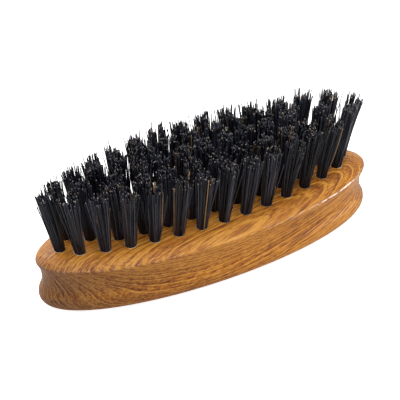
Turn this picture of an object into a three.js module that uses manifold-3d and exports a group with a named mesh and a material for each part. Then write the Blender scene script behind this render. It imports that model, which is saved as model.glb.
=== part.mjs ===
// Beard brush: one oval block of wood with three rings of bristle tufts set in blind holes.
// Millimetres. +X runs along the brush, +Z points out of the bristle face, and the origin is at
// the middle of the flat back, where the brush rests.
import * as THREE from 'three';
import { mergeVertices } from 'three/addons/utils/BufferGeometryUtils.js';
import Module from 'manifold-3d';

// ---- Driving dimensions ----

const LENGTH = 111;             // overall, over the rim
const WIDTH = 39;
const FACE_HEIGHT = 19.2;       // back to the highest point of the bristle face

const BACK_ROUNDING = 5.6;      // how far the lower edge rounds in to the flat back
const BULGE_HEIGHT = 3.9;       // where the lower edge is widest
const BULGE_SETBACK = 0.25;     // the lower edge, in from the rim
const GROOVE_HEIGHT = 8.9;      // deepest line of the finger groove
const GROOVE_DEPTH = 1.6;       // in from the rim
const RIM_HEIGHT = 15;          // the rim's lower edge, where the brush is widest
const UNDERCUT = 0.8;           // lean of the surface that meets it from below, over a rise of
const UNDERCUT_RISE = 1.3;
const SHOULDER_HEIGHT = 16.35;  // where the rim's rounding runs into the margin
const SHOULDER_SETBACK = 1.1;
const MARGIN_WIDTH = 6.8;       // sloping border between the rim and the tuft field
const CROWN = 0.9;              // rise of the tuft field from its edge to its middle

const HOLE_RADIUS = 1.75;
const HOLE_DEPTH = 8;
const DRILL_POINT = 1;          // depth of the cone that the drill leaves
const FIT_GAP = 0.3;            // all round the tuft in its hole
const TUFT_HEIGHT = 19;         // above the face
const TUFT_TIP_RADIUS = 2.65;

// Tufts fan out from the middle of the brush: sine of the lean, for each millimetre off centre.
const LEAN_ALONG = 0.0023;
const LEAN_ACROSS = 0.0142;

// A ring of holes follows |x/a|^n + |y/b|^n = 1. It keeps its pitch out from the middle of each side,
// and has one hole at each end. The centre row is a straight line of holes.
const OUTER_RING = { name: 'outer', count: 28, pitch: 7.46, a: 48.2, b: 12, n: 1.81 };
const MIDDLE_RING = { name: 'middle', count: 20, pitch: 7.75, a: 38.2, b: 6.3, n: 2.4 };
const CENTRE_ROW = { name: 'centre', count: 9, pitch: 6.9 };

// ---- Fineness of the facets ----

const HANDLE_SEGMENTS = 56;
const HOLE_SEGMENTS = 10;
const CURVE_STEPS = 4;
const FACE_STEPS = 4;
const ARC_SAMPLES = 2000;

// ---- Values worked out from them ----

const HALF_LENGTH = LENGTH / 2;
const HALF_WIDTH = WIDTH / 2;
const FIELD_HALF_LENGTH = HALF_LENGTH - MARGIN_WIDTH;
const FIELD_HALF_WIDTH = HALF_WIDTH - MARGIN_WIDTH;
const FIELD_EDGE_HEIGHT = FACE_HEIGHT - CROWN;
const Z_AXIS = new THREE.Vector3(0, 0, 1);

const wasm = await Module();
wasm.setup();

const wood = new THREE.MeshStandardMaterial({ color: 0x94581f, roughness: 0.5, metalness: 0 });
const bristle = new THREE.MeshStandardMaterial({ color: 0x17161a, roughness: 0.55, metalness: 0 });

// ---- Solids ----

// A profile of (radius, height) points, turned about the vertical axis with +Z up.
function turned(profile, segments) {
  return new THREE.LatheGeometry(profile, segments).rotateX(Math.PI / 2);
}

// The same shape as a manifold solid, with shared corners merged and the slivers at the poles left out.
function toSolid(geometry) {
  const bare = geometry.clone();
  bare.deleteAttribute('normal');
  bare.deleteAttribute('uv');
  const merged = mergeVertices(bare);
  const corners = merged.index.array;
  const kept = [];
  for (let i = 0; i < corners.length; i += 3) {
    const [a, b, c] = corners.slice(i, i + 3);
    if (a !== b && b !== c && c !== a) kept.push(a, b, c);
  }
  return new wasm.Manifold(new wasm.Mesh({
    numProp: 3,
    vertProperties: new Float32Array(merged.attributes.position.array),
    triVerts: new Uint32Array(kept),
  }));
}

function toGeometry(solid) {
  const { vertProperties, triVerts } = solid.getMesh();
  const geometry = new THREE.BufferGeometry();
  geometry.setAttribute('position', new THREE.BufferAttribute(vertProperties, 3));
  geometry.setIndex(new THREE.BufferAttribute(triVerts, 1));
  geometry.computeVertexNormals();
  return geometry;
}

// ---- The bristle face and the places of the tufts ----

// Height of the crowned tuft field.
function faceHeight(x, y) {
  const fromMiddle = Math.hypot(x / FIELD_HALF_LENGTH, y / FIELD_HALF_WIDTH);
  return FACE_HEIGHT - CROWN * fromMiddle ** 2;
}

// One quarter of a ring, from its side on the Y axis round to its end on the X axis.
function ringPoint({ a, b, n }, angle) {
  return new THREE.Vector2(
    a * Math.sin(angle) ** (2 / n),
    b * Math.cos(angle) ** (2 / n),
  );
}

// The places of one quarter's holes, with the first at the side and the last at the end.
function quarterSpots(ring) {
  const perQuarter = ring.count / 4;
  const spots = [ringPoint(ring, 0)];
  let last = spots[0];
  let run = 0;
  for (let i = 1; spots.length < perQuarter; i++) {
    const next = ringPoint(ring, (Math.PI / 2) * (i / ARC_SAMPLES));
    run += next.distanceTo(last);
    last = next;
    if (run >= spots.length * ring.pitch) spots.push(next);
  }
  spots.push(new THREE.Vector2(ring.a, 0));
  return spots;
}

// All the places round a ring, anticlockwise from its +X end.
function ringSpots(ring) {
  const perQuarter = ring.count / 4;
  const quarter = quarterSpots(ring);
  const spots = [];
  for (let i = 0; i < ring.count; i++) {
    const turn = Math.floor(i / perQuarter);
    const step = i % perQuarter;
    const spot = quarter[turn % 2 ? step : perQuarter - step];
    spots.push([turn === 1 || turn === 2 ? -spot.x : spot.x, turn > 1 ? -spot.y : spot.y]);
  }
  return spots;
}

function rowSpots({ count, pitch }) {
  return Array.from({ length: count }, (_, i) => [(i - (count - 1) / 2) * pitch, 0]);
}

// Stands a shape at a place on the face, leaning outwards there.
function stand(object, [x, y]) {
  const lean = new THREE.Vector3(LEAN_ALONG * x, LEAN_ACROSS * y, 0);
  lean.z = Math.sqrt(1 - lean.lengthSq());
  object.position.set(x, y, faceHeight(x, y));
  object.quaternion.setFromUnitVectors(Z_AXIS, lean);
  object.updateMatrix();
  return object;
}

const TUFT_SETS = [
  { name: OUTER_RING.name, spots: ringSpots(OUTER_RING) },
  { name: MIDDLE_RING.name, spots: ringSpots(MIDDLE_RING) },
  { name: CENTRE_ROW.name, spots: rowSpots(CENTRE_ROW) },
];

// ---- Handle ----

// Section through the end of the handle, from the middle of the back to the middle of the face.
function handleProfile() {
  const bulge = HALF_LENGTH - BULGE_SETBACK;
  const waist = HALF_LENGTH - GROOVE_DEPTH;
  const shoulder = HALF_LENGTH - SHOULDER_SETBACK;
  const lowerHalf = (GROOVE_HEIGHT - BULGE_HEIGHT) / 2;
  const upperHalf = (RIM_HEIGHT - GROOVE_HEIGHT) / 2;
  const rimHalf = (SHOULDER_HEIGHT - RIM_HEIGHT) / 2;
  const path = new THREE.Path();
  path.moveTo(0, 0);
  path.lineTo(bulge - BACK_ROUNDING, 0);
  path.absellipse(bulge - BACK_ROUNDING, BULGE_HEIGHT, BACK_ROUNDING, BULGE_HEIGHT, -Math.PI / 2, 0);
  path.bezierCurveTo(
    bulge, BULGE_HEIGHT + lowerHalf, waist, GROOVE_HEIGHT - lowerHalf, waist, GROOVE_HEIGHT,
  );
  path.bezierCurveTo(
    waist, GROOVE_HEIGHT + upperHalf,
    HALF_LENGTH - UNDERCUT, RIM_HEIGHT - UNDERCUT_RISE, HALF_LENGTH, RIM_HEIGHT,
  );
  path.bezierCurveTo(
    HALF_LENGTH, RIM_HEIGHT + rimHalf,
    shoulder + SHOULDER_SETBACK / 2, SHOULDER_HEIGHT - rimHalf / 2, shoulder, SHOULDER_HEIGHT,
  );
  path.quadraticCurveTo(
    HALF_LENGTH - MARGIN_WIDTH / 2, FIELD_EDGE_HEIGHT - CROWN / 2, FIELD_HALF_LENGTH, FIELD_EDGE_HEIGHT,
  );
  const profile = path.getPoints(CURVE_STEPS);
  for (let i = FACE_STEPS - 1; i >= 0; i--) {
    const radius = (FIELD_HALF_LENGTH * i) / FACE_STEPS;
    profile.push(new THREE.Vector2(radius, faceHeight(radius, 0)));
  }
  return profile;
}

// Draws the turned shape in across its width. Outside the tuft field each section is an ellipse
// set in by the same amount at the ends and the sides; inside it the ellipses shrink to the middle.
function toOval(geometry) {
  const position = geometry.attributes.position;
  for (let i = 0; i < position.count; i++) {
    const radius = Math.hypot(position.getX(i), position.getY(i));
    if (radius === 0) continue;
    const halfWidth = radius > FIELD_HALF_LENGTH
      ? radius - (HALF_LENGTH - HALF_WIDTH)
      : (radius * FIELD_HALF_WIDTH) / FIELD_HALF_LENGTH;
    position.setY(i, (position.getY(i) * halfWidth) / radius);
  }
  return geometry;
}

// The drilled shape of one hole, reaching a little above the face so that it cuts cleanly.
function holeGeometry() {
  const above = 2;
  return turned([
    new THREE.Vector2(0, -HOLE_DEPTH - DRILL_POINT),
    new THREE.Vector2(HOLE_RADIUS, -HOLE_DEPTH),
    new THREE.Vector2(HOLE_RADIUS, above),
    new THREE.Vector2(0, above),
  ], HOLE_SEGMENTS);
}

function makeHandle() {
  let block = toSolid(toOval(turned(handleProfile(), HANDLE_SEGMENTS)));
  const drill = holeGeometry();
  for (const { spots } of TUFT_SETS) {
    for (const spot of spots) {
      const { matrix } = stand(new THREE.Object3D(), spot);
      block = block.subtract(toSolid(drill.clone().applyMatrix4(matrix)));
    }
  }
  const handle = new THREE.Mesh(toGeometry(block), wood);
  handle.name = 'handle';
  return handle;
}

// ---- Tufts ----

// One bundle of bristles as a plain solid: a straight stem in the hole that flares to the cut tips.
function tuftGeometry() {
  const stem = HOLE_RADIUS - FIT_GAP;
  const foot = HOLE_DEPTH - FIT_GAP;
  const shoulder = 0.9;
  return turned([
    new THREE.Vector2(0, -foot),
    new THREE.Vector2(stem, -foot),
    new THREE.Vector2(stem, FIT_GAP),
    new THREE.Vector2(TUFT_TIP_RADIUS, TUFT_HEIGHT - shoulder),
    new THREE.Vector2(0, TUFT_HEIGHT),
  ], HOLE_SEGMENTS);
}

function makeTufts() {
  const geometry = tuftGeometry();
  const tufts = new THREE.Group();
  for (const { name, spots } of TUFT_SETS) {
    spots.forEach((spot, i) => {
      const tuft = stand(new THREE.Mesh(geometry, bristle), spot);
      tuft.name = `tuft_${name}_${String(i + 1).padStart(2, '0')}`;
      tufts.add(tuft);
    });
  }
  return tufts;
}

// ---- Assembly ----

const brush = new THREE.Group();
brush.add(makeHandle());
brush.add(makeTufts());

export default brush;
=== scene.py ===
# %% [markdown]
# # A beard brush, from the block to the last bristle
#
# A beard brush is a simple thing: one oval block of oiled wood, shaped to sit between thumb and
# fingers, with bundles of stiff boar bristle set in drilled holes. The solid model that this lesson
# starts from already has every size right. What is left to make is the look: a smooth block with
# figure in its wood, thousands of single bristles, the wire that holds them, and the light.
#
# All lengths are in metres, so sizes that a maker would give in millimetres are multiplied by MM.

# %% Load the solid model as a fixed frame
import math

import bmesh
import bpy
import numpy as np
from mathutils import Matrix, Vector
from mathutils.geometry import interpolate_bezier


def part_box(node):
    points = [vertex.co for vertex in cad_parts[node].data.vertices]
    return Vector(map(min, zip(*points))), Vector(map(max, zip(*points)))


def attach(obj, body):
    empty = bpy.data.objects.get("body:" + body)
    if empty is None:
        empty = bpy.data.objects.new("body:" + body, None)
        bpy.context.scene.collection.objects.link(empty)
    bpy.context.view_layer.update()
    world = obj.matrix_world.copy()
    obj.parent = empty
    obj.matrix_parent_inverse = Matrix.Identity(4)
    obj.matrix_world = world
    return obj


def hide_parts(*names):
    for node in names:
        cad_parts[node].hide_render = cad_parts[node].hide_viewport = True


MM = 0.001
BODY = "root"

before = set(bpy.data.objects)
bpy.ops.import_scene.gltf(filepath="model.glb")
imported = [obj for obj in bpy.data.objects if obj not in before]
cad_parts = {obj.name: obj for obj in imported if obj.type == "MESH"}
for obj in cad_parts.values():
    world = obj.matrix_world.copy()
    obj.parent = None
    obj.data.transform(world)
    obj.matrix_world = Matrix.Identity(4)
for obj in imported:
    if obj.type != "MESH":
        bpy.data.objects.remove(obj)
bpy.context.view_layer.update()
tuft_nodes = sorted(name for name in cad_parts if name.startswith("tuft_"))
print("solid model:", len(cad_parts), "nodes,", len(tuft_nodes), "tufts")

# %% [markdown]
# ## The camera
#
# Small goods are best shown from well back with a long lens, which keeps the two ends of a long
# thing nearly the same size. The camera is placed by two angles round the brush, a distance, a
# slight roll, and a small slide sideways and up that centres the brush in the frame.

# %% Place the camera
CAMERA_AZIMUTH = -28.8          # degrees, from straight in front towards the right
CAMERA_ELEVATION = 33.0         # degrees
CAMERA_ROLL = math.radians(-1.9)
CAMERA_DISTANCE = 700 * MM
CAMERA_SLIDE = (-1.7 * MM, 15.5 * MM)
LENS = 208.6


def direction(azimuth, elevation):
    """The unit vector that points away from the brush at two angles in degrees."""
    azimuth, elevation = math.radians(azimuth), math.radians(elevation)
    return Vector((
        math.sin(azimuth) * math.cos(elevation),
        -math.cos(azimuth) * math.cos(elevation),
        math.sin(elevation),
    ))


back = direction(CAMERA_AZIMUTH, CAMERA_ELEVATION)
right = Vector((0, 0, 1)).cross(back).normalized()
roll = Matrix.Rotation(CAMERA_ROLL, 3, back)
right = roll @ right
up = back.cross(right)

camera = bpy.data.objects.new("camera", bpy.data.cameras.new("camera"))
camera.data.lens = LENS
camera.data.clip_start = 10 * MM
camera.matrix_world = Matrix((right, up, back)).transposed().to_4x4()
camera.location = back * CAMERA_DISTANCE + right * CAMERA_SLIDE[0] + up * CAMERA_SLIDE[1]
bpy.context.scene.collection.objects.link(camera)
bpy.context.scene.camera = camera
print("camera at", [round(c / MM) for c in camera.location], "mm")

# %% [markdown]
# ## Light and floor
#
# Product light is large and soft: a pale tent all round, a broad lamp overhead, and one low on the
# right, so the block grows darker towards its left end and its rim catches a thin line of light. A
# lamp behind the brush draws a pale edge on the outline, and a weaker one lights the left end.
#
# The tent is white, but it lights the brush as if it were dim. Only reflections and the camera see
# it at full strength, so that oil and bristle gleam while the shadows stay deep. The white table
# sends a good share of the light back up, which fills the groove under the rim. For the camera
# alone it also glows, so that it burns out to plain white. The Light Path node tells these rays
# apart. From below the table is clear, so that the back of the brush can be looked at too.

# %% Tent
TENT_STRENGTH = 0.21
TENT_GLEAM = 1.0                # added to it for reflections and for the camera

tent = bpy.data.worlds.new("tent")
bpy.context.scene.world = tent
tent.use_nodes = True
tree = tent.node_tree
background = tree.nodes["Background"]
background.inputs["Color"].default_value = (1, 1, 1, 1)
ray = tree.nodes.new("ShaderNodeLightPath")
seen = tree.nodes.new("ShaderNodeMath")
tree.links.new(ray.outputs["Is Glossy Ray"], seen.inputs[0])
tree.links.new(ray.outputs["Is Camera Ray"], seen.inputs[1])
gleam = tree.nodes.new("ShaderNodeMath")
gleam.operation = "MULTIPLY_ADD"
gleam.inputs[1].default_value = TENT_GLEAM
gleam.inputs[2].default_value = TENT_STRENGTH
tree.links.new(seen.outputs[0], gleam.inputs[0])
tree.links.new(gleam.outputs[0], background.inputs["Strength"])

# %% Lamps
AIM = Vector((0, 0, 15 * MM))
LAMP_DISTANCE = 0.6
LAMPS = (                       # name, azimuth, elevation, size, power
    ("key_lamp", 64, 9, 0.26, 1.65),
    ("top_lamp", 0, 80, 0.8, 4.8),
    ("back_lamp", 190, 40, 0.3, 1.7),
    ("left_lamp", -130, 25, 0.5, 0.8),
)


def soft_lamp(name, azimuth, elevation, size, power):
    """A square lamp that faces the brush."""
    away = direction(azimuth, elevation)
    lamp = bpy.data.objects.new(name, bpy.data.lights.new(name, "AREA"))
    lamp.data.size = size
    lamp.data.energy = power
    lamp.location = AIM + away * LAMP_DISTANCE
    lamp.rotation_euler = away.to_track_quat("Z", "Y").to_euler()
    bpy.context.scene.collection.objects.link(lamp)


for lamp in LAMPS:
    soft_lamp(*lamp)
bpy.context.scene.view_settings.view_transform = "Standard"
print("lamps:", [name for name, *_ in LAMPS])

# %% Table
TABLE_SIZE = 3.0
TABLE_GREY = 0.82
TABLE_GLOW = 0.9
TABLE_RISE = 0.03 * MM          # keeps the table's face just inside the back, clear of its surface

bm = bmesh.new()
bmesh.ops.create_grid(
    bm, x_segments=1, y_segments=1, size=TABLE_SIZE / 2, matrix=Matrix.Translation((0, 0, TABLE_RISE)),
)
table_mesh = bpy.data.meshes.new("table")
bm.to_mesh(table_mesh)
bm.free()
table = bpy.data.objects.new("table", table_mesh)
bpy.context.scene.collection.objects.link(table)
white_table = bpy.data.materials.new("white_table")
white_table.use_nodes = True
tree = white_table.node_tree
shader = tree.nodes["Principled BSDF"]
shader.inputs["Base Color"].default_value = (TABLE_GREY, TABLE_GREY, TABLE_GREY, 1)
shader.inputs["Roughness"].default_value = 0.9
shader.inputs["Specular IOR Level"].default_value = 0.0
shader.inputs["Emission Color"].default_value = (1, 1, 1, 1)
seen_by_camera = tree.nodes.new("ShaderNodeLightPath").outputs["Is Camera Ray"]
glow = tree.nodes.new("ShaderNodeMath")
glow.operation = "MULTIPLY"
glow.inputs[1].default_value = TABLE_GLOW
tree.links.new(seen_by_camera, glow.inputs[0])
tree.links.new(glow.outputs[0], shader.inputs["Emission Strength"])
clear = tree.nodes.new("ShaderNodeBsdfTransparent")
from_below = tree.nodes.new("ShaderNodeMixShader")
tree.links.new(tree.nodes.new("ShaderNodeNewGeometry").outputs["Backfacing"], from_below.inputs["Fac"])
tree.links.new(shader.outputs[0], from_below.inputs[1])
tree.links.new(clear.outputs[0], from_below.inputs[2])
tree.links.new(from_below.outputs[0], tree.nodes["Material Output"].inputs["Surface"])
table_mesh.materials.append(white_table)
print("table:", TABLE_SIZE, "m square")

# %% [markdown]
# ## The shape of the block
#
# A shaper cuts the outline of the block from a board and runs the same cutters right round it: one
# rounds the lower edge, the other cuts the finger groove and leaves a crisp lower edge on the rim.
# The rim's upper edge is then sanded to a round shoulder, from which the face slopes up to the
# tufts. So the section is the same everywhere, set in from the outline by the same amounts. That
# makes the block easy to build: draw the section once, spin it round into a disc, and then draw
# the disc in across its width, so that every ring of it becomes an oval.

# %% Sizes of the block
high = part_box("handle")[1]
HALF_LENGTH = high.x
HALF_WIDTH = high.y
FACE_HEIGHT = high.z

BACK_ROUNDING = 5.6 * MM
BULGE_HEIGHT = 3.9 * MM
BULGE_SETBACK = 0.25 * MM
GROOVE_HEIGHT = 8.9 * MM
GROOVE_DEPTH = 1.6 * MM
RIM_HEIGHT = 15.0 * MM
UNDERCUT = (0.8 * MM, 1.3 * MM)     # in and down from the rim's lower edge: the slope the groove ends on
EDGE_EASING = 0.25 * MM
SHOULDER_HEIGHT = 16.35 * MM
SHOULDER_SETBACK = 1.1 * MM
MARGIN_WIDTH = 6.8 * MM
CROWN = 0.9 * MM

FIELD_HALF_LENGTH = HALF_LENGTH - MARGIN_WIDTH
FIELD_HALF_WIDTH = HALF_WIDTH - MARGIN_WIDTH
BLOCK_STEPS = 256
FLAT_STEPS = 6
FACE_STEPS = 16
QUARTER_ROUND = 0.55            # a Bezier handle's length that turns a corner into a quarter circle


def face_height(x, y):
    """Height of the gently crowned tuft field above the back."""
    return FACE_HEIGHT - CROWN * ((x / FIELD_HALF_LENGTH) ** 2 + (y / FIELD_HALF_WIDTH) ** 2)


def curve(*points, steps):
    """The points of a Bezier curve given as start, handle, handle, end, without its start."""
    start, first, second, end = (Vector((x, 0, z)) for x, z in points)
    return interpolate_bezier(start, first, second, end, steps + 1)[1:]


def side_section():
    """The section's points from the middle of the back to just under the rim, and the rim's corner."""
    bulge, waist = HALF_LENGTH - BULGE_SETBACK, HALF_LENGTH - GROOVE_DEPTH
    flat = bulge - BACK_ROUNDING
    round_x, round_z = BACK_ROUNDING * QUARTER_ROUND, BULGE_HEIGHT * QUARTER_ROUND
    lower, upper = (GROOVE_HEIGHT - BULGE_HEIGHT) / 2, (RIM_HEIGHT - GROOVE_HEIGHT) / 2
    corner = Vector((HALF_LENGTH, RIM_HEIGHT))
    below = corner - Vector(UNDERCUT).normalized() * EDGE_EASING
    line = [Vector((flat * i / FLAT_STEPS, 0, 0)) for i in range(FLAT_STEPS + 1)]
    line += curve(
        (flat, 0), (flat + round_x, 0), (bulge, BULGE_HEIGHT - round_z), (bulge, BULGE_HEIGHT),
        steps=14,
    )
    line += curve(
        (bulge, BULGE_HEIGHT), (bulge, BULGE_HEIGHT + lower),
        (waist, GROOVE_HEIGHT - lower), (waist, GROOVE_HEIGHT), steps=14,
    )
    line += curve(
        (waist, GROOVE_HEIGHT), (waist, GROOVE_HEIGHT + upper), corner - Vector(UNDERCUT), below,
        steps=16,
    )
    return line, corner


def block_section():
    """Half of the block's section: from the middle of the back out, up and in to the face's middle."""
    line, corner = side_section()
    # The rim's lower edge is eased a little, with a short curve in place of the corner.
    below = corner - Vector(UNDERCUT).normalized() * EDGE_EASING
    above = corner + Vector((0, EDGE_EASING))
    line += curve(below, below.lerp(corner, 0.6), above.lerp(corner, 0.6), above, steps=5)
    shoulder = Vector((HALF_LENGTH - SHOULDER_SETBACK, SHOULDER_HEIGHT))
    rounding = (SHOULDER_HEIGHT - RIM_HEIGHT) / 2
    line += curve(
        above, (HALF_LENGTH, RIM_HEIGHT + rounding),
        (shoulder.x + SHOULDER_SETBACK / 2, SHOULDER_HEIGHT - rounding / 2), shoulder, steps=10,
    )
    field_edge = Vector((FIELD_HALF_LENGTH, FACE_HEIGHT - CROWN))
    margin_bend = Vector((HALF_LENGTH - MARGIN_WIDTH / 2, field_edge.y - CROWN / 2))
    line += curve(
        shoulder, margin_bend.lerp(shoulder, 0.33), margin_bend.lerp(field_edge, 0.33), field_edge,
        steps=12,
    )
    for i in range(FACE_STEPS - 1, -1, -1):
        radius = FIELD_HALF_LENGTH * i / FACE_STEPS
        line.append(Vector((radius, 0, face_height(radius, 0))))
    return line


def half_width_at(radius):
    """How far a ring of the spun disc reaches across the brush once it is drawn in to an oval."""
    if radius > FIELD_HALF_LENGTH:
        return radius - (HALF_LENGTH - HALF_WIDTH)
    return radius * FIELD_HALF_WIDTH / FIELD_HALF_LENGTH


def new_piece(name, bm):
    """A mesh object made of what the bmesh holds, at the origin, shaded smooth."""
    mesh = bpy.data.meshes.new(name)
    bm.to_mesh(mesh)
    bm.free()
    mesh.shade_smooth()
    piece = bpy.data.objects.new(name, mesh)
    bpy.context.scene.collection.objects.link(piece)
    return piece


# %% Spin the section and draw it in to an oval
MERGE_DISTANCE = 0.001 * MM


def make_block():
    bm = bmesh.new()
    line = [bm.verts.new(p) for p in block_section()]
    edges = [bm.edges.new(pair) for pair in zip(line, line[1:])]
    bmesh.ops.spin(
        bm, geom=line + edges, cent=(0, 0, 0), axis=(0, 0, 1), dvec=(0, 0, 0),
        angle=2 * math.pi, steps=BLOCK_STEPS, use_merge=True, use_duplicate=False,
    )
    bmesh.ops.remove_doubles(bm, verts=bm.verts, dist=MERGE_DISTANCE)
    for v in bm.verts:
        radius = math.hypot(v.co.x, v.co.y)
        if radius > 0:
            v.co.y *= half_width_at(radius) / radius
    bmesh.ops.recalc_face_normals(bm, faces=bm.faces)
    return new_piece("block", bm)


block = make_block()
print("block:", len(block.data.polygons), "faces before drilling")

# %% [markdown]
# ## Where the tufts stand
#
# The solid model says where each tuft is and how far it leans. A tuft there is a plain flared
# solid, the same shape all round its own axis, so the mean of its corners lies on that axis, and so
# does its highest point. Those two points give the direction, and the tuft's known height leads
# back down to the mouth of its hole.

# %% Read the tufts' axes from the solid model
TUFT_HEIGHT = 19 * MM
HOLE_RADIUS = 1.75 * MM
HOLE_DEPTH = 8 * MM
DRILL_POINT = 1 * MM


def tuft_frame(node):
    """A matrix at the mouth of a tuft's hole, with its Z along the tuft and its X along the brush."""
    corners = np.array([v.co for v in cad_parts[node].data.vertices])
    corners = np.unique(np.round(corners, 6), axis=0)
    top = Vector(corners[corners[:, 2].argmax()])
    axis = (top - Vector(corners.mean(axis=0))).normalized()
    across = axis.cross(Vector((1, 0, 0))).normalized()
    along = across.cross(axis)
    matrix = Matrix((along, across, axis)).transposed().to_4x4()
    matrix.translation = top - axis * TUFT_HEIGHT
    return matrix


tuft_frames = {node: tuft_frame(node) for node in tuft_nodes}
leans = [math.degrees(m.col[2].to_3d().angle(Vector((0, 0, 1)))) for m in tuft_frames.values()]
print(f"tufts lean {min(leans):.1f} to {max(leans):.1f} degrees")

# %% [markdown]
# ## Drilling the holes
#
# Each hole is a real one, with the cone that a drill leaves at its foot. The drill is one small
# mesh, spun from its own section and copied to each tuft's place. All the copies go into a single
# cutter, so that one Boolean does the drilling.

# %% Drill
HOLE_STEPS = 40
DRILL_CLEARANCE = 2 * MM        # how far each drill stands out of the wood
SHARP_ANGLE = math.radians(40)


def spun(section, steps):
    """A closed bmesh: a line of (radius, height) points in metres, spun about the Z axis."""
    bm = bmesh.new()
    line = [bm.verts.new((radius, 0, z)) for radius, z in section]
    edges = [bm.edges.new(pair) for pair in zip(line, line[1:])]
    bmesh.ops.spin(
        bm, geom=line + edges, cent=(0, 0, 0), axis=(0, 0, 1), dvec=(0, 0, 0),
        angle=2 * math.pi, steps=steps, use_merge=True, use_duplicate=False,
    )
    bmesh.ops.remove_doubles(bm, verts=bm.verts, dist=MERGE_DISTANCE)
    bmesh.ops.recalc_face_normals(bm, faces=bm.faces)
    return bm


def stood(template, matrices):
    """One bmesh that holds a copy of the template mesh for each matrix."""
    bm = bmesh.new()
    for matrix in matrices:
        known = len(bm.verts)
        bm.from_mesh(template)
        bm.verts.ensure_lookup_table()
        bmesh.ops.transform(bm, matrix=matrix, verts=bm.verts[known:])
    return bm


def drill_holes(piece):
    drill = bpy.data.meshes.new("drill")
    bm = spun([
        (0, -HOLE_DEPTH - DRILL_POINT), (HOLE_RADIUS, -HOLE_DEPTH),
        (HOLE_RADIUS, DRILL_CLEARANCE), (0, DRILL_CLEARANCE),
    ], HOLE_STEPS)
    bm.to_mesh(drill)
    bm.free()
    drills = new_piece("drills", stood(drill, tuft_frames.values()))
    cut = piece.modifiers.new("holes", "BOOLEAN")
    cut.operation = "DIFFERENCE"
    cut.solver = "EXACT"
    cut.object = drills
    now = bpy.context.evaluated_depsgraph_get()
    drilled = bpy.data.meshes.new_from_object(piece.evaluated_get(now))
    piece.modifiers.clear()
    piece.data = drilled
    bpy.data.objects.remove(drills)
    drilled.shade_smooth()
    drilled.set_sharp_from_angle(angle=SHARP_ANGLE)


drill_holes(block)
print("block:", len(block.data.polygons), "faces after drilling")

# %% [markdown]
# ## Oiled wood
#
# The figure of wood comes from where the surface cuts through the tree, so it is worked out in the
# solid, from Object coordinates, and not painted on the surface. Three directions matter. The
# fibres run along the block, but about sixteen degrees off its length. The year rings are circles
# round the heart of the branch, which ran along the fibres a little above the front rim of the
# brush. The rays are thin sheets that spread from the heart and cross the rings.
#
# With just these, the rest follows. On the face the rings are long slanting lines. On the side
# they lie nearly level, and they fan out at the left end. At the right end, where the heart was
# nearest, the rounded edge cuts them into nested arches. It is all one node group, because the raw
# fibre that the drill tears up at each hole uses it too, with paler values.

# %% Node helpers
def new_group(name, inputs, outputs):
    """An empty shader node group with named sockets, and its input and output nodes."""
    tree = bpy.data.node_groups.new(name, "ShaderNodeTree")
    for label, kind, value in inputs:
        socket = tree.interface.new_socket(label, in_out="INPUT", socket_type=kind)
        if value is not None:
            socket.default_value = value
    for label, kind in outputs:
        tree.interface.new_socket(label, in_out="OUTPUT", socket_type=kind)
    return tree, tree.nodes.new("NodeGroupInput"), tree.nodes.new("NodeGroupOutput")


def connect(tree, socket, value):
    """Feeds a socket from another socket, or sets it to a plain value."""
    if isinstance(value, bpy.types.NodeSocket):
        tree.links.new(value, socket)
    else:
        socket.default_value = value


def math_node(tree, operation, *values, clamp=False):
    node = tree.nodes.new("ShaderNodeMath")
    node.operation = operation
    node.use_clamp = clamp
    for socket, value in zip(node.inputs, values):
        connect(tree, socket, value)
    return node.outputs[0]


def vector_node(tree, operation, *values):
    node = tree.nodes.new("ShaderNodeVectorMath")
    node.operation = operation
    for socket, value in zip(node.inputs, values):
        connect(tree, socket, value)
    return node.outputs[0]


def scaled(tree, vector, factor):
    node = tree.nodes.new("ShaderNodeVectorMath")
    node.operation = "SCALE"
    connect(tree, node.inputs["Vector"], vector)
    node.inputs["Scale"].default_value = factor
    return node.outputs[0]


def noise(tree, vector, detail=2.0, roughness=0.5, distortion=0.0):
    """Noise at one feature per unit of the vector. Gives the texture node, for its Fac or Color."""
    node = tree.nodes.new("ShaderNodeTexNoise")
    connect(tree, node.inputs["Vector"], vector)
    node.inputs["Scale"].default_value = 1.0
    node.inputs["Detail"].default_value = detail
    node.inputs["Roughness"].default_value = roughness
    node.inputs["Distortion"].default_value = distortion
    return node


def smooth_step(tree, value, low_edge, high_edge):
    """0 below one edge, 1 above the other, and smooth between them."""
    node = tree.nodes.new("ShaderNodeMapRange")
    node.interpolation_type = "SMOOTHSTEP"
    connect(tree, node.inputs["Value"], value)
    node.inputs["From Min"].default_value = low_edge
    node.inputs["From Max"].default_value = high_edge
    return node.outputs["Result"]


def mix_colour(tree, factor, first, second, blend="MIX"):
    node = tree.nodes.new("ShaderNodeMix")
    node.data_type = "RGBA"
    node.blend_type = blend
    connect(tree, node.inputs["Factor"], factor)
    connect(tree, node.inputs["A"], first)
    connect(tree, node.inputs["B"], second)
    return node.outputs["Result"]


def combined(tree, x, y, z):
    node = tree.nodes.new("ShaderNodeCombineXYZ")
    for socket, value in zip(node.inputs, (x, y, z)):
        connect(tree, socket, value)
    return node.outputs[0]


# %% The grain's own directions
FIBRE_ANGLE = math.radians(16)      # from the brush's length, seen from above
HEART_ACROSS = -23.0                # mm, the heart of the branch, across the fibres
HEART_HEIGHT = 28.0                 # mm, above the back of the brush
RING_WIDTH = 1.15                   # mm, from one year to the next
ROUND_SCALE = 15.0                  # mm along a ring for each radian round the heart
DIP = 0.14                          # how far the rings widen with each mm along the fibres
WANDER = 2.6                        # mm, how far fibres and rings stray from their true lines
WANDER_DETAIL = (0.02, 0.05, 0.05)  # bends per mm


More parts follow.
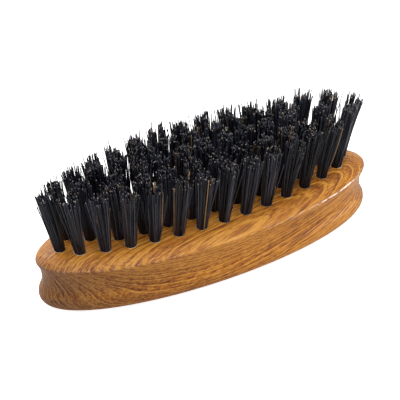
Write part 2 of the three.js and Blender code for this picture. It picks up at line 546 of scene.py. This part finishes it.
def grain_axes(tree, vector):
    """A place in the wood as mm along the fibres, mm out from the heart and mm round it."""
    place = scaled(tree, vector, 1 / MM)
    wander = noise(tree, vector_node(tree, "MULTIPLY", place, WANDER_DETAIL), detail=2.0)
    wander = vector_node(tree, "SUBTRACT", wander.outputs["Color"], (0.5, 0.5, 0.5))
    place = vector_node(tree, "ADD", place, vector_node(tree, "MULTIPLY", wander, (0.0, WANDER, WANDER)))
    turn = tree.nodes.new("ShaderNodeVectorRotate")
    turn.rotation_type = "Z_AXIS"
    tree.links.new(place, turn.inputs["Vector"])
    turn.inputs["Angle"].default_value = -FIBRE_ANGLE
    split = tree.nodes.new("ShaderNodeSeparateXYZ")
    tree.links.new(turn.outputs["Vector"], split.inputs[0])
    along, across, height = split.outputs
    across = math_node(tree, "SUBTRACT", across, HEART_ACROSS)
    height = math_node(tree, "SUBTRACT", height, HEART_HEIGHT)
    out = math_node(tree, "SQRT", math_node(tree, "ADD", math_node(tree, "MULTIPLY", across, across),
                                            math_node(tree, "MULTIPLY", height, height)))
    out = math_node(tree, "ADD", out, math_node(tree, "MULTIPLY", along, DIP))
    round_heart = math_node(tree, "MULTIPLY", math_node(tree, "ARCTAN2", height, across), ROUND_SCALE)
    return along, out, round_heart


def stretched(tree, axes, frequencies, **settings):
    """Noise with its own number of features per mm along the fibres, out from the heart and round it."""
    parts = [math_node(tree, "MULTIPLY", axis, f) for axis, f in zip(axes, frequencies)]
    return noise(tree, combined(tree, *parts), **settings).outputs["Fac"]


def end_grain_mask(tree):
    """0 where the surface lies along the fibres, 1 where it cuts them squarely."""
    normal = tree.nodes.new("ShaderNodeNewGeometry").outputs["Normal"]
    squareness = tree.nodes.new("ShaderNodeVectorMath")
    squareness.operation = "DOT_PRODUCT"
    tree.links.new(normal, squareness.inputs[0])
    squareness.inputs[1].default_value = (math.cos(FIBRE_ANGLE), math.sin(FIBRE_ANGLE), 0)
    return smooth_step(tree, math_node(tree, "ABSOLUTE", squareness.outputs["Value"]), 0.15, 0.9)


# %% The timber group
# Features per mm along the fibres, out from the heart and round it. Layers follow the rings, and
# threads and hair-fine lines follow the fibres. Pores are short dashes, and rays cross the rings.
BANDS = (0.02, 0.22, 0.08)
LAYERS = (0.035, 2.4, 0.2)
THREADS = (0.09, 2.2, 1.9)
LINES = (0.22, 3.8, 3.2)
PALE_STRETCHES = (0.02, 0.5, 0.1)
PORES = (0.5, 4.6, 4.6)
RAYS = (0.5, 0.07, 3.2)


def make_timber_group():
    tree, given, result = new_group("timber", [
        ("Vector", "NodeSocketVector", None),
        ("Dark", "NodeSocketColor", (0.15, 0.05, 0.01, 1)),
        ("Mid", "NodeSocketColor", (0.4, 0.16, 0.025, 1)),
        ("Light", "NodeSocketColor", (0.62, 0.31, 0.08, 1)),
        ("Figure", "NodeSocketFloat", 1.0),
    ], [
        ("Colour", "NodeSocketColor"), ("Roughness", "NodeSocketFloat"), ("Height", "NodeSocketFloat"),
    ])
    axes = grain_axes(tree, given.outputs["Vector"])
    figure = given.outputs["Figure"]

    def weighed(total, value, weight):
        return math_node(tree, "ADD", total, math_node(tree, "MULTIPLY", value, weight))

    bands = stretched(tree, axes, BANDS, detail=1.0)
    layers = stretched(tree, axes, LAYERS, detail=3.0, roughness=0.65)
    threads = stretched(tree, axes, THREADS, detail=3.0, roughness=0.7)
    lines = stretched(tree, axes, LINES, detail=2.0, roughness=0.6)
    tone = weighed(math_node(tree, "MULTIPLY", layers, 0.75), threads, 1.05)
    tone = weighed(weighed(tone, lines, 1.0), bands, 0.5)

    # Each ring darkens slowly and ends in a thin pale line, strong in places and lost in others.
    in_ring = math_node(tree, "FRACT", math_node(tree, "DIVIDE", axes[1], RING_WIDTH))
    pale = math_node(tree, "MULTIPLY", smooth_step(tree, in_ring, 0.66, 0.84),
                     smooth_step(tree, in_ring, 1.0, 0.88))
    strength = smooth_step(tree, stretched(tree, axes, PALE_STRETCHES, detail=1.0), 0.32, 0.52)
    pale = math_node(tree, "MULTIPLY", math_node(tree, "MULTIPLY", pale, strength), figure)
    tone = weighed(weighed(tone, smooth_step(tree, in_ring, 0.1, 0.7), -0.16), pale, 0.48)
    tone = smooth_step(tree, tone, 1.14, 1.98)

    # Pores are dark, and rays are pale flecks that show most on the end grain.
    pore = smooth_step(tree, stretched(tree, axes, PORES, detail=1.0), 0.62, 0.72)
    ray = smooth_step(tree, stretched(tree, axes, RAYS, detail=2.0), 0.58, 0.68)
    end_grain = end_grain_mask(tree)
    ray = math_node(tree, "MULTIPLY", ray, weighed(0.25, end_grain, 0.4))
    ray = math_node(tree, "MULTIPLY", ray, figure)

    colour = mix_colour(tree, smooth_step(tree, tone, 0.0, 0.5),
                        given.outputs["Dark"], given.outputs["Mid"])
    colour = mix_colour(tree, smooth_step(tree, tone, 0.45, 1.0), colour, given.outputs["Light"])
    colour = mix_colour(tree, ray, colour, given.outputs["Light"])
    colour = mix_colour(tree, math_node(tree, "MULTIPLY", pore, 0.65), colour, given.outputs["Dark"])
    # End grain drinks more oil, so it is darker and less red. The darkening is partly painted shade for
    # the dim left end, and its grey-blue cast is a painted sheen.
    soaked_shade_and_sheen = mix_colour(tree, 1.0, colour, (0.42, 0.43, 0.9, 1), blend="MULTIPLY")
    colour = mix_colour(tree, math_node(tree, "MULTIPLY", end_grain, figure), colour, soaked_shade_and_sheen)

    height = weighed(math_node(tree, "MULTIPLY", lines, 0.5), pore, -1.0)
    roughness = weighed(weighed(0.3, threads, 0.25), pore, 0.2)
    tree.links.new(colour, result.inputs["Colour"])
    tree.links.new(roughness, result.inputs["Roughness"])
    tree.links.new(height, result.inputs["Height"])
    return tree


timber = make_timber_group()
print("timber group:", len(timber.nodes), "nodes")


# %% Materials that hold the timber group
def principled(name):
    """A new material, its node tree and its Principled shader."""
    material = bpy.data.materials.new(name)
    material.use_nodes = True
    return material, material.node_tree, material.node_tree.nodes["Principled BSDF"]


def add_timber(tree, shader, dark, mid, light, figure, bump):
    """Puts the timber group into a material and feeds its colour, roughness and bump to the shader."""
    place = tree.nodes.new("ShaderNodeTexCoord").outputs["Object"]
    wood = tree.nodes.new("ShaderNodeGroup")
    wood.node_tree = timber
    tree.links.new(place, wood.inputs["Vector"])
    wood.inputs["Dark"].default_value = (*dark, 1)
    wood.inputs["Mid"].default_value = (*mid, 1)
    wood.inputs["Light"].default_value = (*light, 1)
    wood.inputs["Figure"].default_value = figure
    relief = tree.nodes.new("ShaderNodeBump")
    relief.inputs["Strength"].default_value = 1.0
    relief.inputs["Distance"].default_value = bump
    tree.links.new(wood.outputs["Height"], relief.inputs["Height"])
    tree.links.new(relief.outputs["Normal"], shader.inputs["Normal"])
    tree.links.new(wood.outputs["Colour"], shader.inputs["Base Color"])
    tree.links.new(wood.outputs["Roughness"], shader.inputs["Roughness"])


# %% Oil the block
# The polish is a thin coat on a narrow band just above the rim's lower edge.
POLISH_FADE = 0.3 * MM
POLISH_HEIGHT = 1.0 * MM
HELD_END = (5 * MM, 24 * MM)        # along the brush: where the polish starts to grow, and is full
LEAST_POLISH = 0.25
WOOD_BUMP = 0.02 * MM


def rim_polish(tree):
    """A mask of the band that hands have polished, most at the end they hold, and worn in places."""
    place = tree.nodes.new("ShaderNodeTexCoord").outputs["Object"]
    parts = tree.nodes.new("ShaderNodeSeparateXYZ")
    tree.links.new(place, parts.inputs[0])
    height = parts.outputs["Z"]
    top = RIM_HEIGHT + POLISH_HEIGHT
    held_end = smooth_step(tree, parts.outputs["X"], *HELD_END)
    hold = math_node(tree, "MULTIPLY_ADD", held_end, 1 - LEAST_POLISH, LEAST_POLISH)
    band = math_node(tree, "MULTIPLY", smooth_step(tree, height, RIM_HEIGHT, RIM_HEIGHT + POLISH_FADE),
                     smooth_step(tree, height, top, top - POLISH_FADE))
    wear = noise(tree, scaled(tree, place, 0.45 / MM), detail=2.0).outputs["Fac"]
    patchy = math_node(tree, "MULTIPLY", band, smooth_step(tree, wear, 0.35, 0.6))
    return math_node(tree, "MULTIPLY", patchy, hold)


oiled_wood, tree, shader = principled("oiled_wood")
add_timber(tree, shader, dark=(0.145, 0.038, 0.009), mid=(0.4, 0.132, 0.013), light=(0.66, 0.3, 0.045),
           figure=1.0, bump=WOOD_BUMP)
shader.inputs["Specular IOR Level"].default_value = 0.24
shader.inputs["Coat Roughness"].default_value = 0.07
shader.inputs["Coat IOR"].default_value = 1.9
tree.links.new(rim_polish(tree), shader.inputs["Coat Weight"])
block.data.materials.clear()
block.data.materials.append(oiled_wood)
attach(block, BODY)
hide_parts("handle")
print("block: oiled")

# %% [markdown]
# ## Torn fibre round the holes
#
# A drill that leaves wood with the grain tears up a thin, ragged fringe, mostly on one side. It
# takes no oil, so it stays nearly white, and it draws a bright crescent at the foot of each tuft.
# It is made as a small ring with a three-cornered section, spun once. Each copy is then roughened:
# its sharp inner edge is moved up and its outer edge out, by an amount that changes all the way
# round and fades to nothing on the clean side.

# %% Ragged rings
BURR_STEPS = 36
BURR_HEIGHT = 0.75 * MM
BURR_WIDTH = 0.6 * MM
BURR_SIDE = math.radians(215)     # the drill was pushed a little this way, and tore most there
SIDE_SPREAD = 0.6                 # radians, from hole to hole
TEARS = (2, 5)                    # waves of torn fibre round a hole
BURR_SIZES = (0.4, 1.3)
BURR_FOOT = -0.3 * MM
BURR_SEED = 11
rng = np.random.default_rng(BURR_SEED)


def burr_template():
    """A closed ring round the hole's edge: a foot in the wood, a sharp inner edge and a low outer one."""
    foot = (HOLE_RADIUS - 0.03 * MM, BURR_FOOT)
    inner = (HOLE_RADIUS - 0.01 * MM, 0.01 * MM)
    outer = (HOLE_RADIUS + 0.08 * MM, -0.02 * MM)
    bm = spun([foot, inner, outer, foot], BURR_STEPS)
    mesh = bpy.data.meshes.new("burr")
    bm.to_mesh(mesh)
    bm.free()
    return mesh


def make_burrs():
    template = burr_template()
    bm = bmesh.new()
    for matrix in tuft_frames.values():
        known = len(bm.verts)
        bm.from_mesh(template)
        bm.verts.ensure_lookup_table()
        torn_side = BURR_SIDE + rng.normal(0, SIDE_SPREAD)
        tears, phase = rng.uniform(*TEARS), rng.uniform(0, 2 * math.pi)
        size = rng.uniform(*BURR_SIZES)
        for v in bm.verts[known:]:
            angle = math.atan2(v.co.y, v.co.x)
            raggedness = rng.random() * size * max(0.0, math.cos((angle - torn_side) / 2)) ** 2
            raggedness *= 0.65 + 0.35 * math.sin(tears * angle + phase)
            height = v.co.z
            outward = Vector((v.co.x, v.co.y, 0)).normalized()
            if height > 0:
                height += BURR_HEIGHT * raggedness
            elif height > BURR_FOOT / 2:
                v.co += outward * BURR_WIDTH * raggedness
            spot = matrix @ Vector((v.co.x, v.co.y, 0))
            v.co = (spot.x, spot.y, face_height(spot.x, spot.y) + height)
    bmesh.ops.recalc_face_normals(bm, faces=bm.faces)
    return new_piece("hole_burrs", bm)


burrs = make_burrs()
raw_fibre, tree, shader = principled("raw_fibre")
add_timber(tree, shader, dark=(0.4, 0.28, 0.17), mid=(0.78, 0.66, 0.5), light=(0.95, 0.9, 0.8),
           figure=0.2, bump=WOOD_BUMP)
burrs.data.materials.append(raw_fibre)
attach(burrs, BODY)
print("burrs:", len(burrs.data.polygons), "faces")

# %% [markdown]
# ## Bristles
#
# A tuft is a small bundle of boar hair that is folded in two over a wire and pushed to the foot of
# its hole, so each hair is a hairpin with two cut tips in the air. The tips are never level: hairs
# differ in length, they stick together in small clumps, and a few bend away or are paler.
#
# One straight hair is extruded ring by ring from a five-sided circle. It has only a few dozen
# faces, because there are thousands of copies. Then each copy's rings are carried to their places
# along a path: down one leg, under the wire, and up the other. Two values go with each corner, for
# the material: how far along the leg it is, and the hair's own tone.

# %% One straight hair
STRANDS = 44                                    # hairpins in a tuft, so twice as many tips
SIDES = 5
LEG_STATIONS = (0.0, 0.36, 0.7, 0.975, 1.0)     # rings up a leg, from the mouth to the tip
BEND_STATIONS = 2                               # rings under the wire
RINGS = 2 * len(LEG_STATIONS) + BEND_STATIONS


def straight_hair():
    """A closed five-sided hair of unit radius, with ring number i at height i."""
    bm = bmesh.new()
    ring = bmesh.ops.create_circle(bm, cap_ends=True, segments=SIDES, radius=1.0)["verts"]
    edges = list({e for v in ring for e in v.link_edges})
    for _ in range(RINGS - 1):
        made = bmesh.ops.extrude_edge_only(bm, edges=edges)["geom"]
        ring = [g for g in made if isinstance(g, bmesh.types.BMVert)]
        edges = [g for g in made if isinstance(g, bmesh.types.BMEdge)]
        bmesh.ops.translate(bm, verts=ring, vec=(0, 0, 1))
    bmesh.ops.contextual_create(bm, geom=edges)
    bmesh.ops.recalc_face_normals(bm, faces=bm.faces)
    mesh = bpy.data.meshes.new("hair")
    bm.to_mesh(mesh)
    bm.free()
    return mesh


hair = straight_hair()
print("one hair:", len(hair.polygons), "faces")

# %% The paths of a tuft's hairs
BRISTLE_SEED = 7
PACK_RADIUS = 1.6 * MM          # the bundle where it leaves its hole
TIP_RADIUS = 2.95 * MM          # and at its cut tips
WIRE_DEPTH = 6.3 * MM
HAIR_RADIUS = 0.16 * MM
HAIR_TIP_RADIUS = 0.14 * MM
HAIR_SIZES = (0.8, 1.2)
CLUMPS = 8
CLUMP_RISE = 0.65 * MM
CLUMP_PULL = (0.05, 0.6)
SPLAY = (0.92, 1.14)
STRAY_SHARE = 0.09
STRAY_REACH = (1.2, 2.0)
LONG_SHARE = 0.07
LONG_EXTRA = (0.4 * MM, 2.2 * MM)
TALLEST = TUFT_HEIGHT + 0.9 * MM
LENGTH_SPREAD = 1.5 * MM
DOME = 0.35 * MM                # the outer hairs of a tuft are this much shorter
TIP_DISORDER = 0.22 * MM
BOW = 0.2 * MM
SPREAD_POWER = 1.15             # above 1, a hair leaves its hole upright and turns out later
BEND_REACH = 0.45 * MM          # the two rings under the wire: how far apart, and how low
BEND_DROP = (0.2 * MM, 1.1 * MM)
SET = 0.45 * MM                 # the way that every tuft has come to lean in use
END_SET = 2.1e-5 / MM ** 2      # and how much more the tufts at the two ends lean
rng = np.random.default_rng(BRISTLE_SEED)


def disc_points(count, radius, disorder):
    """Points spread evenly over a disc, as seeds sit in a sunflower, with a little disorder."""
    i = np.arange(count) + 0.5
    r = radius * np.sqrt(i / count)
    turn = i * math.pi * (3 - math.sqrt(5)) + rng.uniform(0, 2 * math.pi)
    points = np.stack([r * np.cos(turn), r * np.sin(turn)], axis=1)
    return points + rng.normal(0, disorder, points.shape)


def leg_paths(mouths, clumps, clump_rise, splay, lean):
    """Paths of legs from their places in the mouth to their tips: an array (legs, stations, xyz)."""
    count = len(mouths)
    own = mouths / PACK_RADIUS
    nearest = np.argmin(np.linalg.norm(own[:, None] - clumps[None], axis=2), axis=1)
    pull = rng.uniform(*CLUMP_PULL, (count, 1))
    tips = (own * (1 - pull) + clumps[nearest] * pull) * TIP_RADIUS * splay
    tips += rng.normal(0, TIP_DISORDER, tips.shape)
    stray = rng.random(count) < STRAY_SHARE
    tips[stray] *= rng.uniform(*STRAY_REACH, (stray.sum(), 1))
    tips += lean
    height = TALLEST - np.abs(rng.normal(0, LENGTH_SPREAD, count)) + clump_rise[nearest]
    height -= np.linalg.norm(own, axis=1) ** 2 * DOME
    long = rng.random(count) < LONG_SHARE
    height[long] += rng.uniform(*LONG_EXTRA, long.sum())
    bow = rng.normal(0, BOW, (count, 1, 2))
    s = np.array(LEG_STATIONS)[None, :, None]
    level = mouths[:, None] + (tips - mouths)[:, None] * s ** SPREAD_POWER + bow * np.sin(s * math.pi)
    rise = height[:, None, None] * s
    return np.concatenate([level, rise], axis=2)


def hairpin_paths(lean):
    """Paths of a tuft's hairs from tip to tip, and how far along its leg each ring is."""
    clumps = disc_points(CLUMPS, 0.85, 0.05)
    clump_rise = rng.normal(0, CLUMP_RISE, CLUMPS)
    splay = rng.uniform(*SPLAY)
    lean = lean + rng.normal(0, 0.25 * MM, 2)
    mouths = disc_points(2 * STRANDS, PACK_RADIUS, 0.05 * MM)
    mouths = mouths[np.argsort(mouths[:, 0])]
    left = leg_paths(mouths[:STRANDS], clumps, clump_rise, splay, lean)
    right = leg_paths(rng.permutation(mouths[STRANDS:]), clumps, clump_rise, splay, lean)
    under = np.zeros((STRANDS, BEND_STATIONS, 3))
    under[:, :, 0] = (-BEND_REACH, BEND_REACH)
    under[:, :, 1] = (left[:, :1, 1] + right[:, :1, 1]) * 0.4
    under[:, :, 2] = -WIRE_DEPTH - rng.uniform(*BEND_DROP, (STRANDS, 1))
    path = np.concatenate([left[:, ::-1], under, right], axis=1)
    along = np.concatenate([LEG_STATIONS[::-1], np.zeros(BEND_STATIONS), LEG_STATIONS])
    return path, along


# %% Lay hairs along the paths
def make_tuft(name, matrix):
    x = matrix.translation.x
    path, along = hairpin_paths(lean=np.array([SET + END_SET * x ** 3, 0.0]))
    bm = bmesh.new()
    for _ in range(STRANDS):
        bm.from_mesh(hair)
    piece = new_piece(name, bm)
    straight = np.array([v.co for v in hair.vertices])
    ring = np.round(straight[:, 2]).astype(int)
    run = np.gradient(path, axis=1)
    run /= np.linalg.norm(run, axis=2, keepdims=True)
    side = np.cross(run, (0.0, 1.0, 0.0))
    side /= np.linalg.norm(side, axis=2, keepdims=True)
    ahead = np.cross(run, side)
    tip_share = np.clip(along, 0, 1) ** 1.5
    thick = HAIR_RADIUS + (HAIR_TIP_RADIUS - HAIR_RADIUS) * tip_share
    size = thick[None] * rng.uniform(*HAIR_SIZES, (STRANDS, 1))
    places = path[:, ring] + size[:, ring, None] * (
        side[:, ring] * straight[None, :, :1] + ahead[:, ring] * straight[None, :, 1:2]
    )
    rotation, origin = np.array(matrix.to_3x3()), np.array(matrix.translation)
    places = places.reshape(-1, 3) @ rotation.T + origin
    piece.data.vertices.foreach_set("co", places.ravel())
    tone = np.repeat(rng.random(STRANDS), len(straight))
    height = np.tile(along[ring], STRANDS)
    for label, values in (("tone", tone), ("along", height)):
        attribute = piece.data.attributes.new(label, "FLOAT", "POINT")
        attribute.data.foreach_set("value", values.astype(np.float32))
    piece.data.update()
    return piece


# %% [markdown]
# ### The finish of boar hair
#
# Boar bristle is nearly black, with a cool sheen along it. A few hairs in a hundred are brown or
# straw-coloured. The cut tip is split into fine flags, which on some hairs catch the light as a
# small pale dot.

# %% Bristle material
# The blue cast of these colours, and the paler grey-blue tones, are partly a painted cool sheen, set
# against the warm light the wood throws on the hairs; the spread of tones from hair to hair is the hairs'
# own.
HAIR_COLOURS_AND_SHEEN = (                # from which tone, and the colour
    (0.0, (0.002, 0.002, 0.004, 1)), (0.38, (0.009, 0.010, 0.017, 1)),
    (0.62, (0.023, 0.025, 0.038, 1)), (0.85, (0.052, 0.055, 0.075, 1)),
    (0.978, (0.08, 0.045, 0.022, 1)), (0.993, (0.34, 0.19, 0.08, 1)),
)
FLAG_COLOUR = (0.42, 0.33, 0.25, 1)
SHUFFLE = 37.7                  # makes a second random value of a hair's tone


def make_bristle_material():
    material, tree, shader = principled("boar_bristle")
    tone = tree.nodes.new("ShaderNodeAttribute")
    tone.attribute_name = "tone"
    along = tree.nodes.new("ShaderNodeAttribute")
    along.attribute_name = "along"
    hue = tree.nodes.new("ShaderNodeValToRGB")
    ramp = hue.color_ramp
    ramp.interpolation = "CONSTANT"
    for position, colour in HAIR_COLOURS_AND_SHEEN:
        stop = ramp.elements[0] if position == 0 else ramp.elements.new(position)
        stop.color = colour
    ramp.elements.remove(ramp.elements[-1])
    tree.links.new(tone.outputs["Fac"], hue.inputs["Fac"])
    tip = smooth_step(tree, along.outputs["Fac"], 0.985, 1.0)
    shuffled = math_node(tree, "FRACT", math_node(tree, "MULTIPLY", tone.outputs["Fac"], SHUFFLE))
    flag = math_node(tree, "MULTIPLY", tip, smooth_step(tree, shuffled, 0.7, 1.0))
    colour = mix_colour(tree, flag, hue.outputs["Color"], FLAG_COLOUR)
    tree.links.new(colour, shader.inputs["Base Color"])
    shader.inputs["Roughness"].default_value = 0.34
    shader.inputs["Specular IOR Level"].default_value = 0.35
    return material


boar_bristle = make_bristle_material()

# %% Make every tuft
faces = 0
for node, matrix in tuft_frames.items():
    tuft = make_tuft(node.replace("tuft_", "bristles_"), matrix)
    tuft.data.materials.append(boar_bristle)
    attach(tuft, BODY)
    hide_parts(node)
    faces += len(tuft.data.polygons)
print("bristles:", faces, "faces in", len(tuft_frames), "tufts")

# %% [markdown]
# ## The anchors
#
# Nothing is glued: a short piece of flat wire lies across each hole over the folded hairs, and its
# ends bite into the wood on both sides. It can't be seen in a finished brush, but without it the
# tufts would fall out, so it is made too. The wires of one ring of tufts are one piece.

# %% Flat wire anchors
WIRE_LENGTH = 3.9 * MM
WIRE_HEIGHT = 1.3 * MM
WIRE_THICKNESS = 0.3 * MM
WIRE_BEVEL = 0.08 * MM
WIRE_RISE = 0.3 * MM            # the wire's lower edge, above the fold in the hairs
BRUSHING = (900.0, 150.0, 6000.0)


def make_anchors(ring):
    bm = bmesh.new()
    bmesh.ops.create_cube(bm, size=1.0)
    bmesh.ops.scale(bm, vec=(WIRE_THICKNESS, WIRE_LENGTH, WIRE_HEIGHT), verts=bm.verts)
    bmesh.ops.bevel(
        bm, geom=bm.edges[:], offset=WIRE_BEVEL, segments=2, profile=0.5, affect="EDGES", material=-1,
    )
    bmesh.ops.translate(bm, vec=(0, 0, -WIRE_DEPTH + WIRE_HEIGHT / 2 + WIRE_RISE), verts=bm.verts)
    template = bpy.data.meshes.new("anchor")
    bm.to_mesh(template)
    bm.free()
    matrices = [m for node, m in tuft_frames.items() if f"_{ring}_" in node]
    return new_piece(f"anchors_{ring}", stood(template, matrices))


wire, tree, shader = principled("drawn_wire")
shader.inputs["Metallic"].default_value = 1.0
place = tree.nodes.new("ShaderNodeTexCoord").outputs["Object"]
drawn = noise(tree, vector_node(tree, "MULTIPLY", place, BRUSHING), detail=3.0).outputs["Fac"]
steel = mix_colour(tree, drawn, (0.42, 0.4, 0.36, 1), (0.66, 0.64, 0.6, 1))
tree.links.new(steel, shader.inputs["Base Color"])
matt = math_node(tree, "MULTIPLY_ADD", drawn, 0.3, 0.2)
tree.links.new(matt, shader.inputs["Roughness"])
for ring in ("outer", "middle", "centre"):
    anchors = make_anchors(ring)
    anchors.data.materials.append(wire)
    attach(anchors, BODY)
    print(anchors.name, len(anchors.data.polygons), "faces")
